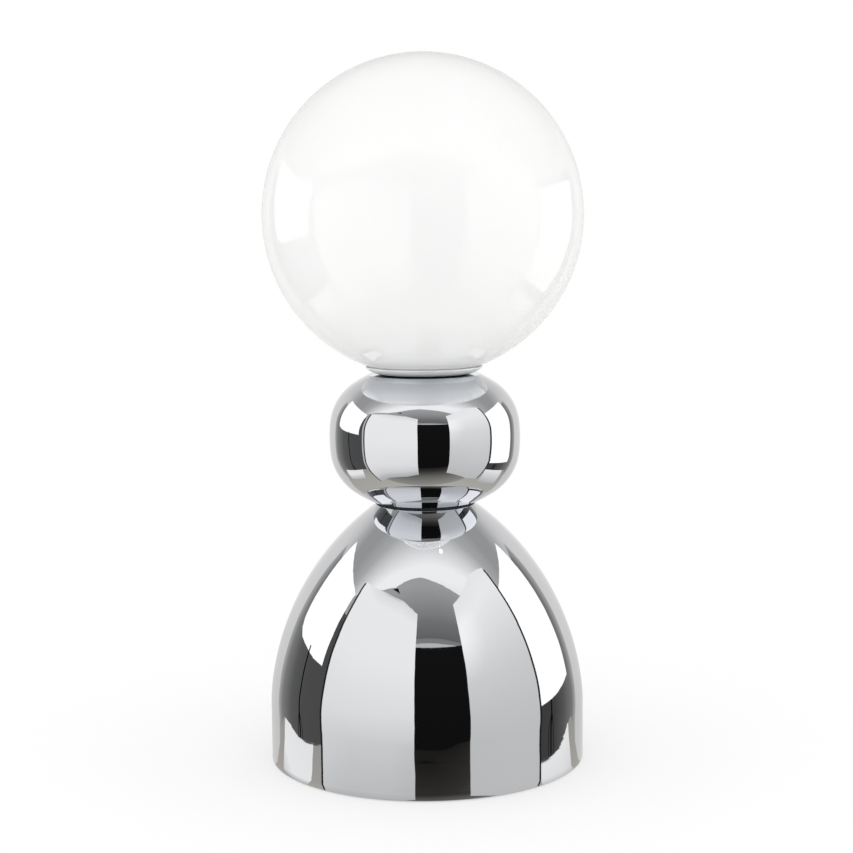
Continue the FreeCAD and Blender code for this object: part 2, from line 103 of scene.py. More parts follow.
def finish(name, color, **sockets):
    m, t = new_material(name)
    out = add(t, "ShaderNodeOutputMaterial")
    b = add(t, "ShaderNodeBsdfPrincipled")
    b.inputs["Base Color"].default_value = (*color, 1.0)
    for key, value in sockets.items():
        b.inputs[key.replace("_", " ")].default_value = value
    wire(t, b.outputs[0], out.inputs[0])
    m.diffuse_color = (*color, 1.0)
    return m, t, b


# %% Patterns and bumps


def place(tree, scale=(1.0, 1.0, 1.0)):
    """Object coordinates, stretched per axis."""
    c = add(tree, "ShaderNodeTexCoord")
    mp = add(tree, "ShaderNodeMapping", Scale=scale)
    wire(tree, c.outputs["Object"], mp.inputs["Vector"])
    return mp.outputs[0]


def grain(tree, vector, scale, detail=2.0, rough=0.5):
    n = add(tree, "ShaderNodeTexNoise", Scale=scale, Detail=detail, Roughness=rough)
    wire(tree, vector, n.inputs["Vector"])
    return n.outputs["Fac"]


def bump(tree, bsdf, height, distance, strength=1.0):
    n = add(tree, "ShaderNodeBump", Strength=strength, Distance=distance)
    wire(tree, height, n.inputs["Height"])
    wire(tree, n.outputs[0], bsdf.inputs["Normal"])
    return n


def spread(tree, value, low, high, a=0.0, b=1.0):
    n = add(tree, "ShaderNodeMapRange")
    n.inputs["From Min"].default_value = a
    n.inputs["From Max"].default_value = b
    n.inputs["To Min"].default_value = low
    n.inputs["To Max"].default_value = high
    wire(tree, value, n.inputs["Value"])
    return n.outputs[0]


def two_tone(tree, bsdf, value, dark, light):
    n = add(tree, "ShaderNodeMix", data_type="RGBA")
    n.inputs[6].default_value = (*dark, 1.0)
    n.inputs[7].default_value = (*light, 1.0)
    wire(tree, value, n.inputs[0])
    wire(tree, n.outputs[2], bsdf.inputs["Base Color"])


# %% Dress a node and tell what was made


def dress(name, material):
    """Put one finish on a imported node."""
    ob = nodes[name]
    ob.data.materials.clear()
    ob.data.materials.append(material)


def tell(*materials):
    for m in materials:
        print("finish:", m.name, "nodes:", len(m.node_tree.nodes))


# %% [markdown]
# ## Polished chrome
# The ball and dome are spun from sheet and plated. Plating mirrors the room almost perfectly,
# but the spinning tool leaves very shallow rings and the polisher very shallow waves, and these
# bend the straight edges of the reflections a little. Both are bump, too shallow to show in
# the outline. The plating also smears a little, so its roughness wanders.
#
# The dish is the same metal with a satin finish. Only part of its light is a mirror image.

# %% Chrome
chrome, t, b = finish("chrome", (0.715, 0.735, 0.77), Metallic=1.0, Roughness=0.015)
waves = grain(t, place(t, (1.0, 1.0, 1.4)), 34.0, 1.0)
rings = grain(t, place(t, (2.0, 2.0, 260.0)), 1.0, 1.0)
both = add(t, "ShaderNodeMath", operation="MULTIPLY_ADD")
both.inputs[1].default_value = 0.10
wire(t, rings, both.inputs[0])
wire(t, waves, both.inputs[2])
bump(t, b, both.outputs[0], 0.00022, 0.55)
smear = grain(t, place(t), 9.0, 3.0)
wire(t, spread(t, smear, 0.012, 0.035), b.inputs["Roughness"])
tell(chrome)

# %% Satin chrome
satin, t, b = finish("satin_chrome", (0.84, 0.87, 0.885), Metallic=0.35, Roughness=0.42)
turned = grain(t, place(t, (1.0, 1.0, 40.0)), 60.0, 2.0)
wire(t, spread(t, turned, 0.36, 0.46), b.inputs["Roughness"])
bump(t, b, turned, 0.00002, 0.4)
tell(satin)

# %% [markdown]
# ## Opal glass
# The globe is blown from white glass with a clear skin. Light enters and spreads under the
# surface, so its shading is very soft, while the skin gives sharp but weak reflections of the
# lamps in the studio. Subsurface light does the first, the shader's own gloss the second.

# %% Opal glass
opal, t, b = finish("opal_glass", (0.968, 0.97, 0.963), Roughness=0.07, IOR=1.5)
b.inputs["Subsurface Weight"].default_value = 0.35
b.inputs["Subsurface Radius"].default_value = (1.0, 1.0, 1.0)
b.inputs["Subsurface Scale"].default_value = 0.02
blown = grain(t, place(t), 7.0, 1.0)
bump(t, b, blown, 0.0012, 0.25)
mottle = grain(t, place(t), 26.0, 3.0)
two_tone(t, b, mottle, (0.962, 0.965, 0.956), (0.974, 0.974, 0.968))
tell(opal)

# %% [markdown]
# ## Spun shapes
# A spun part is one section turned about the axis, so one Geometry Nodes tree makes them all.
# It reads the section's points in order and lays them on the rows of a grid; each column is
# turned a little further round. Merging closes the seam and the poles. Two numbers set how
# fine the result is. The sections repeat the drawing's arcs with many more points, because a
# mirror shows every flat.

# %% Sections from lines and arcs
TUBE_HOLE_R = 5.15  # every spun piece clears the threaded tube by this, in mm


def arc(cx, cz, r, a0, a1, n):
    """Points on an arc, angles in degrees from +X towards +Z."""
    out = []
    for i in range(n + 1):
        a = math.radians(a0 + (a1 - a0) * i / n)
        out.append((cx + r * math.cos(a), cz + r * math.sin(a)))
    return out


def arc_three(p, q, s, n):
    """Points on the arc through three points, from p through q to s."""
    ax, az, bx, bz, cx, cz = *p, *q, *s
    d = 2 * (ax * (bz - cz) + bx * (cz - az) + cx * (az - bz))
    a2, b2, c2 = ax * ax + az * az, bx * bx + bz * bz, cx * cx + cz * cz
    ox = (a2 * (bz - cz) + b2 * (cz - az) + c2 * (az - bz)) / d
    oz = (a2 * (cx - bx) + b2 * (ax - cx) + c2 * (bx - ax)) / d
    t0 = math.degrees(math.atan2(az - oz, ax - ox))
    t1 = math.degrees(math.atan2(bz - oz, bx - ox))
    t2 = math.degrees(math.atan2(cz - oz, cx - ox))
    if t0 <= t1 <= t2 or t2 <= t1 <= t0:
        pass
    elif t2 < t0:
        t2 += 360.0
    else:
        t2 -= 360.0
    return arc(ox, oz, math.hypot(ax - ox, az - oz), t0, t2, n)


# %% The spinning tree


def spin_tree(material):
    tree = bpy.data.node_groups.new("spin_section", "GeometryNodeTree")
    face = tree.interface
    face.new_socket("Section", in_out="INPUT", socket_type="NodeSocketGeometry")
    face.new_socket("Rows", in_out="INPUT", socket_type="NodeSocketInt")
    face.new_socket("Columns", in_out="INPUT", socket_type="NodeSocketInt")
    face.new_socket("Spun", in_out="OUTPUT", socket_type="NodeSocketGeometry")
    gi = tree.nodes.new("NodeGroupInput")
    go = tree.nodes.new("NodeGroupOutput")
    grid = tree.nodes.new("GeometryNodeMeshGrid")
    grid.inputs["Size X"].default_value = 1.0
    grid.inputs["Size Y"].default_value = 1.0
    wire(tree, gi.outputs["Columns"], grid.inputs["Vertices X"])
    wire(tree, gi.outputs["Rows"], grid.inputs["Vertices Y"])
    index = tree.nodes.new("GeometryNodeInputIndex")
    row = add(tree, "ShaderNodeMath", operation="MODULO")
    wire(tree, index.outputs[0], row.inputs[0])
    wire(tree, gi.outputs["Rows"], row.inputs[1])
    col = add(tree, "ShaderNodeMath", operation="DIVIDE")
    wire(tree, index.outputs[0], col.inputs[0])
    wire(tree, gi.outputs["Rows"], col.inputs[1])
    whole = add(tree, "ShaderNodeMath", operation="FLOOR")
    wire(tree, col.outputs[0], whole.inputs[0])
    last = add(tree, "ShaderNodeMath", operation="SUBTRACT")
    wire(tree, gi.outputs["Columns"], last.inputs[0])
    last.inputs[1].default_value = 1.0
    share = add(tree, "ShaderNodeMath", operation="DIVIDE")
    wire(tree, whole.outputs[0], share.inputs[0])
    wire(tree, last.outputs[0], share.inputs[1])
    angle = add(tree, "ShaderNodeMath", operation="MULTIPLY")
    wire(tree, share.outputs[0], angle.inputs[0])
    angle.inputs[1].default_value = 2.0 * math.pi
    pos = tree.nodes.new("GeometryNodeInputPosition")
    pick = tree.nodes.new("GeometryNodeSampleIndex")
    pick.data_type = "FLOAT_VECTOR"
    wire(tree, gi.outputs["Section"], pick.inputs["Geometry"])
    wire(tree, pos.outputs[0], pick.inputs["Value"])
    wire(tree, row.outputs[0], pick.inputs["Index"])
    spin = tree.nodes.new("ShaderNodeVectorRotate")
    spin.rotation_type = "Z_AXIS"
    wire(tree, pick.outputs[0], spin.inputs["Vector"])
    wire(tree, angle.outputs[0], spin.inputs["Angle"])
    put = tree.nodes.new("GeometryNodeSetPosition")
    wire(tree, grid.outputs["Mesh"], put.inputs["Geometry"])
    wire(tree, spin.outputs[0], put.inputs["Position"])
    merge = tree.nodes.new("GeometryNodeMergeByDistance")
    merge.inputs["Distance"].default_value = 1e-6
    wire(tree, put.outputs[0], merge.inputs["Geometry"])
    real = tree.nodes.new("GeometryNodeRealizeInstances")
    wire(tree, merge.outputs[0], real.inputs[0])
    paint = tree.nodes.new("GeometryNodeSetMaterial")
    paint.inputs["Material"].default_value = material
    wire(tree, real.outputs[0], paint.inputs["Geometry"])
    wire(tree, paint.outputs[0], go.inputs[0])
    return tree


# %% From a tree to a plain mesh


def socket_id(tree, name):
    for item in tree.interface.items_tree:
        if item.item_type == "SOCKET" and item.in_out == "INPUT" and item.name == name:
            return item.identifier
    raise ValueError(name)


def plain_mesh(ob, name):
    """Freeze an object's modifiers into a plain mesh object of its own."""
    deps = bpy.context.evaluated_depsgraph_get()
    mesh = bpy.data.meshes.new_from_object(ob.evaluated_get(deps))
    new = bpy.data.objects.new(name, mesh)
    bpy.context.scene.collection.objects.link(new)
    bpy.data.objects.remove(ob, do_unlink=True)
    return new


def outward(mesh):
    """Faces of a closed shape point outwards."""
    bm = bmesh.new()
    bm.from_mesh(mesh)
    bmesh.ops.remove_doubles(bm, verts=bm.verts, dist=1e-7)
    bmesh.ops.dissolve_degenerate(bm, edges=bm.edges, dist=1e-7)
    bmesh.ops.recalc_face_normals(bm, faces=bm.faces)
    bm.to_mesh(mesh)
    bm.free()


def smooth(mesh, degrees=30.0):
    for p in mesh.polygons:
        p.use_smooth = True
    mesh.set_sharp_from_angle(angle=math.radians(degrees))


# %% Spin a section


def spun(name, points_mm, material, columns=256, sharp=24.0):
    """Turn a closed section, given in millimetres, into a finished object."""
    pts = [points_mm[0]]
    for p in points_mm[1:]:
        if math.hypot(p[0] - pts[-1][0], p[1] - pts[-1][1]) > 1e-5:
            pts.append(p)
    if math.hypot(pts[0][0] - pts[-1][0], pts[0][1] - pts[-1][1]) > 1e-5:
        pts.append(pts[0])
    line = bpy.data.meshes.new(name + "_section")
    line.from_pydata([(p[0] * MM, 0.0, p[1] * MM) for p in pts],
                     [(i, i + 1) for i in range(len(pts) - 1)], [])
    ob = bpy.data.objects.new(name + "_section", line)
    bpy.context.scene.collection.objects.link(ob)
    tree = spin_tree(material)
    mod = ob.modifiers.new("spin", "NODES")
    mod.node_group = tree
    mod[socket_id(tree, "Rows")] = len(pts)
    mod[socket_id(tree, "Columns")] = columns + 1
    ob.update_tag()
    new = plain_mesh(ob, name)
    outward(new.data)
    smooth(new.data, sharp)
    print(name, "faces:", len(new.data.polygons))
    return new


# %% [markdown]
# ## The glass globe
# The globe has no neck: it is a sphere with its bottom cut away, and it rests in the dish by
# its own weight. Its wall is 3 mm and the cut edge is ground and rounded. It is spun here with
# the same numbers as the solid, so the rim sits on the same seat.

# %% Spin the globe
GLOBE_R, GLOBE_Z, GLOBE_WALL, MOUTH_R = 100.0, 343.2, 3.0, 31.0
gi_r = GLOBE_R - GLOBE_WALL


def down(r, radius):
    return -math.degrees(math.acos(r / radius))


zo = GLOBE_Z - math.sqrt(GLOBE_R ** 2 - MOUTH_R ** 2)
zi = GLOBE_Z - math.sqrt(gi_r ** 2 - MOUTH_R ** 2)
section = arc(0, GLOBE_Z, GLOBE_R, down(MOUTH_R + 0.6, GLOBE_R), 90.0, 150)
section += arc(0, GLOBE_Z, gi_r, 90.0, down(MOUTH_R + 0.5, gi_r), 110)
section += [(MOUTH_R + 0.15, zi), (MOUTH_R, zi - 0.5), (MOUTH_R, zo + 0.5),
            (MOUTH_R + 0.15, zo + 0.25)]
globe_glass = spun("globe_glass", section, opal, 256)
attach(globe_glass, "globe")
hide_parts("globe")

# %% [markdown]
# ## The dish
# A shallow dish with a thin rolled rim carries the glass. Only its rim and the first few
# millimetres of its underside show. The photograph shows no mirror image there, only an even
# pale band that turns darker towards the gap, so its chrome is satin, not polished.

# %% Spin the dish
DISH_Z, DISH_FLAT, DISH_BEND = 244.8, 27.0, 14.0
DISH_RIM_R, DISH_RIM_Z, DISH_WALL = 36.85, 249.4, 1.0
bend_z = DISH_Z + DISH_BEND
out_a = -math.degrees(math.acos((DISH_RIM_R - DISH_FLAT) / DISH_BEND))
in_a = -math.degrees(math.acos((DISH_RIM_R - DISH_WALL - DISH_FLAT) / (DISH_BEND - DISH_WALL)))
section = [(TUBE_HOLE_R, DISH_Z)] + arc(DISH_FLAT, bend_z, DISH_BEND, -90.0, out_a, 40)
section += [(DISH_RIM_R, DISH_RIM_Z - 0.45)]
section += arc(DISH_RIM_R - 0.5, DISH_RIM_Z - 0.45, 0.5, 0.0, 180.0, 14)
section += arc(DISH_FLAT, bend_z, DISH_BEND - DISH_WALL, in_a, -90.0, 24)
section += [(TUBE_HOLE_R, DISH_Z + DISH_WALL)]
dish_shell = spun("dish_shell", section, satin, 192)
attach(dish_shell, "lamp")
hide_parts("dish")

# %% [markdown]
# ## The flattened ball
# The ball is one hollow spinning. Its section is five arcs that meet without a kink: a large
# one across each face, a tight one at each shoulder and a nearly straight one round the waist.

# %% Spin the ball
BALL_TOP, BALL_FOOT, BALL_H, BALL_WAIST, BALL_WALL = 244.2, 163.6, 80.6, 0.51, 1.2
BALL_R, BALL_SIDE_R, BALL_SIDE_A, BALL_BEND_R, BALL_BEND_A = 60.2, 90.0, 6.0, 34.0, 56.5
BALL_Z = BALL_FOOT + BALL_H * BALL_WAIST
b1x = BALL_R - BALL_SIDE_R
b2x = b1x + (BALL_SIDE_R - BALL_BEND_R) * math.cos(math.radians(BALL_SIDE_A))
b2z = (BALL_SIDE_R - BALL_BEND_R) * math.sin(math.radians(BALL_SIDE_A))
ball_face_r = BALL_BEND_R + b2x / math.cos(math.radians(BALL_BEND_A))
b3z = b2z - (ball_face_r - BALL_BEND_R) * math.sin(math.radians(BALL_BEND_A))


def ball_side(off, top, foot, n):
    face, bend, side = ball_face_r - off, BALL_BEND_R - off, BALL_SIDE_R - off
    up = math.degrees(math.asin((top - BALL_Z - b3z) / face))
    dn = math.degrees(math.asin((BALL_Z - foot - b3z) / face))
    out = arc(0, BALL_Z + b3z, face, up, BALL_BEND_A, n // 3)
    out += arc(b2x, BALL_Z + b2z, bend, BALL_BEND_A, BALL_SIDE_A, n)
    out += arc(b1x, BALL_Z, side, BALL_SIDE_A, -BALL_SIDE_A, n // 2)
    out += arc(b2x, BALL_Z - b2z, bend, -BALL_SIDE_A, -BALL_BEND_A, n)
    out += arc(0, BALL_Z - b3z, face, -BALL_BEND_A, -dn, n // 3)
    return out


section = [(TUBE_HOLE_R, BALL_TOP)] + ball_side(0.0, BALL_TOP, BALL_FOOT, 60)
section += [(TUBE_HOLE_R, BALL_FOOT), (TUBE_HOLE_R, BALL_FOOT + BALL_WALL)]
section += ball_side(BALL_WALL, BALL_TOP - BALL_WALL, BALL_FOOT + BALL_WALL, 12)[::-1]
section += [(TUBE_HOLE_R, BALL_TOP - BALL_WALL)]
ball_shell = spun("ball_shell", section, chrome, 256, 20.0)
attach(ball_shell, "lamp")
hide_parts("pebble_shell")

# %% [markdown]
# ## The dome
# The dome is the largest spinning. Below, it runs straight down as a short skirt that hides the
# weight; above, two arcs close it to the flat seat under the ball. The hole for the cable
# gland at the back stays in the solid, which this piece replaces, so it is cut here too.

# %% Spin the dome
DOME_R, DOME_STRAIGHT, DOME_RIM_Z, DOME_TOP, DOME_WALL = 99.6, 34.5, 0.4, 162.8, 1.2
DOME_R1, DOME_A1, SEAT_R = 116.6, 8.42, 30.9
d1x = DOME_R - DOME_R1
ux, uz = math.cos(math.radians(DOME_A1)), math.sin(math.radians(DOME_A1))
dx, dz = d1x + DOME_R1 * ux - SEAT_R, DOME_STRAIGHT + DOME_R1 * uz - DOME_TOP
DOME_R2 = (dx * dx + dz * dz) / (2.0 * (ux * dx + uz * dz))
d2x = d1x + (DOME_R1 - DOME_R2) * math.cos(math.radians(DOME_A1))
d2z = DOME_STRAIGHT + (DOME_R1 - DOME_R2) * math.sin(math.radians(DOME_A1))


def dome_side(off, top, n):
    up = math.degrees(math.asin((top - d2z) / (DOME_R2 - off)))
    out = arc(d1x, DOME_STRAIGHT, DOME_R1 - off, 0.0, DOME_A1, n // 4)
    return out + arc(d2x, d2z, DOME_R2 - off, DOME_A1, up, n)


section = arc(DOME_R - 0.3, DOME_RIM_Z + 0.3, 0.3, -90.0, 0.0, 5)
section += [(DOME_R, 4.0 + 4.0 * i) for i in range(8)]
section += dome_side(0.0, DOME_TOP, 110)
section += [(TUBE_HOLE_R, DOME_TOP), (TUBE_HOLE_R, DOME_TOP - DOME_WALL)]
section += dome_side(DOME_WALL, DOME_TOP - DOME_WALL, 30)[::-1]
section += [(DOME_R - DOME_WALL, 4.0 + 4.0 * i) for i in range(7, -1, -1)]
section += [(DOME_R - DOME_WALL, DOME_RIM_Z)]
dome_cover = spun("dome_cover", section, chrome, 320, 20.0)


# %% Cut the gland's hole


def drill(ob, place_mm, radius_mm, length_mm):
    """Cut a round hole along Y."""
    bm = bmesh.new()
    r = radius_mm * MM
    bmesh.ops.create_cone(bm, cap_ends=True, segments=48, radius1=r, radius2=r,
                          depth=length_mm * MM)
    bmesh.ops.rotate(bm, verts=bm.verts, matrix=Matrix.Rotation(math.radians(90.0), 3, "X"))
    bmesh.ops.translate(bm, verts=bm.verts, vec=Vector(place_mm) * MM)
    mesh = bpy.data.meshes.new("drill")
    bm.to_mesh(mesh)
    bm.free()
    tool = bpy.data.objects.new("drill", mesh)
    bpy.context.scene.collection.objects.link(tool)
    cut = ob.modifiers.new("hole", "BOOLEAN")
    cut.object = tool
    cut.operation = "DIFFERENCE"
    cut.solver = "EXACT"
    name = ob.name
    new = plain_mesh(ob, name)
    bpy.data.objects.remove(tool, do_unlink=True)
    new.name = name
    smooth(new.data, 20.0)
    return new


GLAND_PLACE, GLAND_NECK_R, DRILL_LENGTH = (0, 98, 22), 5.6, 30
dome_cover = drill(dome_cover, GLAND_PLACE, GLAND_NECK_R, DRILL_LENGTH)
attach(dome_cover, "lamp")
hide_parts("dome_shell")
print("dome with its hole:", len(dome_cover.data.polygons), "faces")

# %% [markdown]
# ## The seam under the ball
# A fibre washer parts the two chrome shells. Squeezed by the tube, its edge bulges a little, and
# from the camera it is the thin black line at the neck.

# %% Spin the neck washer
NECK_R, NECK_Z, NECK_HALF, NECK_BULGE = 31.0, 163.2, 0.4, 0.62
black_fibre, t, b = finish("black_fibre", (0.012, 0.012, 0.012), Roughness=0.8)
bump(t, b, grain(t, place(t), 1500.0, 4.0), 0.00006, 0.8)
section = [(TUBE_HOLE_R, NECK_Z - NECK_HALF), (NECK_R - 0.6, NECK_Z - NECK_HALF)]
section += arc(NECK_R, NECK_Z, NECK_BULGE, -115.0, 115.0, 16)
section += [(NECK_R - 0.6, NECK_Z + NECK_HALF), (TUBE_HOLE_R, NECK_Z + NECK_HALF)]
neck_seam = spun("neck_seam", section, black_fibre, 160)
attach(neck_seam, "lamp")
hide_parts("neck_washer")

# %% [markdown]
# ## The lamp thread
# The bulb's cap and the holder's shell are rolled from thin metal into the same round thread,
# 3.63 mm from crest to crest, so the bulb climbs 3.63 mm in each turn. Each starts as a plain
# spun sleeve with close rows. One Geometry Nodes tree then moves every point inwards by a wave
# that runs round and up together, which is what a screw is.

# %% The threading tree
THREAD_RISE, THREAD_DEPTH, THREAD_FADE = 3.63, 1.1, 1.2


def thread_tree(material):
    tree = bpy.data.node_groups.new("roll_thread", "GeometryNodeTree")
    face = tree.interface
    face.new_socket("Sleeve", in_out="INPUT", socket_type="NodeSocketGeometry")
    for label in ("Low", "High", "Fade"):
        face.new_socket(label, in_out="INPUT", socket_type="NodeSocketFloat")
    face.new_socket("Threaded", in_out="OUTPUT", socket_type="NodeSocketGeometry")
    gi, go = tree.nodes.new("NodeGroupInput"), tree.nodes.new("NodeGroupOutput")
    pos = tree.nodes.new("GeometryNodeInputPosition")
    xyz = add(tree, "ShaderNodeSeparateXYZ")
    wire(tree, pos.outputs[0], xyz.inputs[0])

    def maths(op, a, b=None):
        n = add(tree, "ShaderNodeMath", operation=op)
        for socket, value in zip(n.inputs, (a, b)):
            if isinstance(value, (int, float)):
                socket.default_value = value
            elif value is not None:
                wire(tree, value, socket)
        return n.outputs[0]

    x, y, z = (xyz.outputs[k] for k in "XYZ")
    turn = maths("ARCTAN2", y, x)
    climb = maths("MULTIPLY", z, 2.0 * math.pi / (THREAD_RISE * MM))
    wave = maths("COSINE", maths("SUBTRACT", climb, turn))
    depth = maths("MULTIPLY", maths("SUBTRACT", 1.0, wave), 0.5 * THREAD_DEPTH * MM)
    rise = maths("DIVIDE", maths("SUBTRACT", z, gi.outputs["Low"]), gi.outputs["Fade"])
    drop = maths("DIVIDE", maths("SUBTRACT", gi.outputs["High"], z), gi.outputs["Fade"])
    inside = maths("MAXIMUM", maths("MINIMUM", maths("MINIMUM", rise, drop), 1.0), 0.0)
    move = maths("MULTIPLY", depth, inside)
    flat = add(tree, "ShaderNodeCombineXYZ")
    wire(tree, x, flat.inputs[0])
    wire(tree, y, flat.inputs[1])
    way = add(tree, "ShaderNodeVectorMath", operation="NORMALIZE")
    wire(tree, flat.outputs[0], way.inputs[0])
    shift = add(tree, "ShaderNodeVectorMath", operation="SCALE")
    wire(tree, way.outputs[0], shift.inputs[0])
    wire(tree, maths("MULTIPLY", move, -1.0), shift.inputs["Scale"])
    put = tree.nodes.new("GeometryNodeSetPosition")
    wire(tree, gi.outputs["Sleeve"], put.inputs["Geometry"])
    wire(tree, shift.outputs[0], put.inputs["Offset"])
    real = tree.nodes.new("GeometryNodeRealizeInstances")
    wire(tree, put.outputs[0], real.inputs[0])
    paint = tree.nodes.new("GeometryNodeSetMaterial")
    paint.inputs["Material"].default_value = material
    wire(tree, real.outputs[0], paint.inputs["Geometry"])
    wire(tree, paint.outputs[0], go.inputs[0])
    return tree


# %% Sleeves with close rows


def close_rows(*corners, step=0.25):
    """Points along straight lines between corners, never more than a step apart."""
    out = [corners[0]]
    for p, q in zip(corners, corners[1:]):
        n = max(1, int(math.hypot(q[0] - p[0], q[1] - p[1]) / step))
        out += [(p[0] + (q[0] - p[0]) * i / n, p[1] + (q[1] - p[1]) * i / n)
                for i in range(1, n + 1)]
    return out


def threaded(name, section_mm, material, low, high):
    """A spun sleeve with the lamp thread rolled into it between two heights."""
    sleeve = spun(name + "_plain", section_mm, material, 96, 30.0)
    tree = thread_tree(material)
    mod = sleeve.modifiers.new("thread", "NODES")
    mod.node_group = tree
    mod[socket_id(tree, "Low")] = low * MM
    mod[socket_id(tree, "High")] = high * MM
    mod[socket_id(tree, "Fade")] = THREAD_FADE * MM
    sleeve.update_tag()
    new = plain_mesh(sleeve, name)
    smooth(new.data, 50.0)
    return new


# %% [markdown]
# ## Finishes of the small parts
# Few of these show while the globe is on, but all of them show once it is lifted or the lamp is
# turned over. Zinc plating is a little cloudy, spring steel is darker, the weight is painted
# plate, the pad is pressed felt, and the holder is black phenolic moulding.

# %% Steel, paint and felt
zinc, t, b = finish("zinc_steel", (0.60, 0.61, 0.63), Metallic=1.0, Roughness=0.32)
cloud = grain(t, place(t), 180.0, 4.0)
wire(t, spread(t, cloud, 0.22, 0.45), b.inputs["Roughness"])
two_tone(t, b, cloud, (0.52, 0.53, 0.55), (0.66, 0.67, 0.68))

spring, t, b = finish("spring_steel", (0.42, 0.43, 0.45), Metallic=1.0, Roughness=0.28)
rolled = grain(t, place(t, (6.0, 6.0, 0.5)), 400.0, 2.0)
wire(t, spread(t, rolled, 0.2, 0.4), b.inputs["Roughness"])
bump(t, b, rolled, 0.00004, 0.5)

painted, t, b = finish("painted_plate", (0.035, 0.035, 0.038), Roughness=0.5)
peel = grain(t, place(t), 900.0, 2.0)
bump(t, b, peel, 0.0001, 0.6)
wire(t, spread(t, peel, 0.4, 0.65), b.inputs["Roughness"])

felt, t, b = finish("felt", (0.03, 0.03, 0.033), Roughness=0.95,
                    Sheen_Weight=0.6, Sheen_Roughness=0.5)
fibre = grain(t, place(t), 1600.0, 6.0, 0.7)
bump(t, b, fibre, 0.0006, 0.9)
two_tone(t, b, fibre, (0.018, 0.018, 0.02), (0.06, 0.06, 0.064))
tell(zinc, spring, painted, felt)

# %% Rubber, plastics and ceramic
silicone, t, b = finish("silicone", (0.72, 0.63, 0.59), Roughness=0.35, IOR=1.41)
b.inputs["Subsurface Weight"].default_value = 0.6
b.inputs["Subsurface Scale"].default_value = 0.003
b.inputs["Subsurface Radius"].default_value = (1.0, 1.0, 1.0)
two_tone(t, b, grain(t, place(t), 60.0), (0.67, 0.58, 0.54), (0.76, 0.68, 0.64))

rubber, t, b = finish("black_rubber", (0.02, 0.02, 0.02), Roughness=0.62)
skin = grain(t, place(t), 1300.0, 3.0)
bump(t, b, skin, 0.00008, 0.7)
two_tone(t, b, skin, (0.014, 0.014, 0.014), (0.03, 0.03, 0.03))

phenolic, t, b = finish("phenolic", (0.022, 0.021, 0.02), Roughness=0.24)
flow = grain(t, place(t), 70.0, 4.0)
wire(t, spread(t, flow, 0.16, 0.34), b.inputs["Roughness"])
two_tone(t, b, flow, (0.018, 0.017, 0.016), (0.03, 0.028, 0.026))

porcelain, t, b = finish("steatite", (0.86, 0.85, 0.80), Roughness=0.16)
two_tone(t, b, grain(t, place(t), 220.0, 5.0), (0.80, 0.78, 0.72), (0.88, 0.87, 0.83))

white_moulding, t, b = finish("white_moulding", (0.78, 0.78, 0.765), Roughness=0.36)
fine = grain(t, place(t), 1100.0, 2.0)
bump(t, b, fine, 0.00003, 0.6)
wire(t, spread(t, fine, 0.3, 0.42), b.inputs["Roughness"])

frosted, t, b = finish("frosted_diffuser", (0.86, 0.86, 0.84), Roughness=0.42)
b.inputs["Subsurface Weight"].default_value = 0.6
b.inputs["Subsurface Scale"].default_value = 0.008
b.inputs["Subsurface Radius"].default_value = (1.0, 1.0, 1.0)
bump(t, b, grain(t, place(t), 1400.0, 1.0), 0.00003, 0.5)

black_glass, t, b = finish("black_glass", (0.008, 0.008, 0.01), Roughness=0.08)
bump(t, b, grain(t, place(t), 300.0, 1.0), 0.00005, 0.4)
tell(silicone, rubber, phenolic, porcelain, white_moulding, frosted, black_glass)

# %% Brass, nickel, boards and insulation
brass, t, b = finish("brass", (0.78, 0.58, 0.26), Metallic=1.0, Roughness=0.22)
tarnish = grain(t, place(t), 160.0, 4.0)
two_tone(t, b, tarnish, (0.62, 0.44, 0.20), (0.84, 0.66, 0.34))
wire(t, spread(t, tarnish, 0.34, 0.16), b.inputs["Roughness"])

nickel, t, b = finish("nickel_plate", (0.70, 0.68, 0.64), Metallic=1.0, Roughness=0.15)
dull = grain(t, place(t), 240.0, 3.0)
wire(t, spread(t, dull, 0.1, 0.26), b.inputs["Roughness"])

board_green, t, b = finish("glass_fibre_board", (0.03, 0.13, 0.06), Roughness=0.3)
weave = grain(t, place(t, (1.0, 1.0, 8.0)), 300.0, 2.0)
two_tone(t, b, weave, (0.02, 0.10, 0.045), (0.05, 0.18, 0.08))

board_white, t, b = finish("masked_board", (0.85, 0.86, 0.86), Roughness=0.4)
two_tone(t, b, grain(t, place(t), 500.0, 2.0), (0.80, 0.81, 0.81), (0.88, 0.88, 0.88))

phosphor, t, b = finish("phosphor", (0.85, 0.68, 0.12), Roughness=0.5)
two_tone(t, b, grain(t, place(t), 2000.0, 2.0), (0.78, 0.58, 0.08), (0.88, 0.74, 0.18))
tell(brass, nickel, board_green, board_white, phosphor)

# %% Insulation of the leads


def insulation(name, color):
    """Coloured plastic. The shade wanders by a fifth."""
    m, t, b = finish(name, color, Roughness=0.38)
    w = grain(t, place(t), 700.0, 2.0)
    dark = tuple(c * 0.8 for c in color)
    two_tone(t, b, w, dark, color)
    bump(t, b, w, 0.00003, 0.5)
    return m, t, b


brown, t, b = insulation("brown_insulation", (0.16, 0.06, 0.025))
blue, t, b = insulation("blue_insulation", (0.02, 0.09, 0.40))
earth, t, b = insulation("striped_insulation", (0.06, 0.33, 0.04))
xyz = add(t, "ShaderNodeSeparateXYZ")
wire(t, place(t), xyz.inputs[0])
side = add(t, "ShaderNodeMath", operation="GREATER_THAN")
side.inputs[1].default_value = 0.0
wire(t, xyz.outputs["X"], side.inputs[0])
two_tone(t, b, side.outputs[0], (0.06, 0.33, 0.04), (0.75, 0.62, 0.03))
tell(brown, blue, earth)

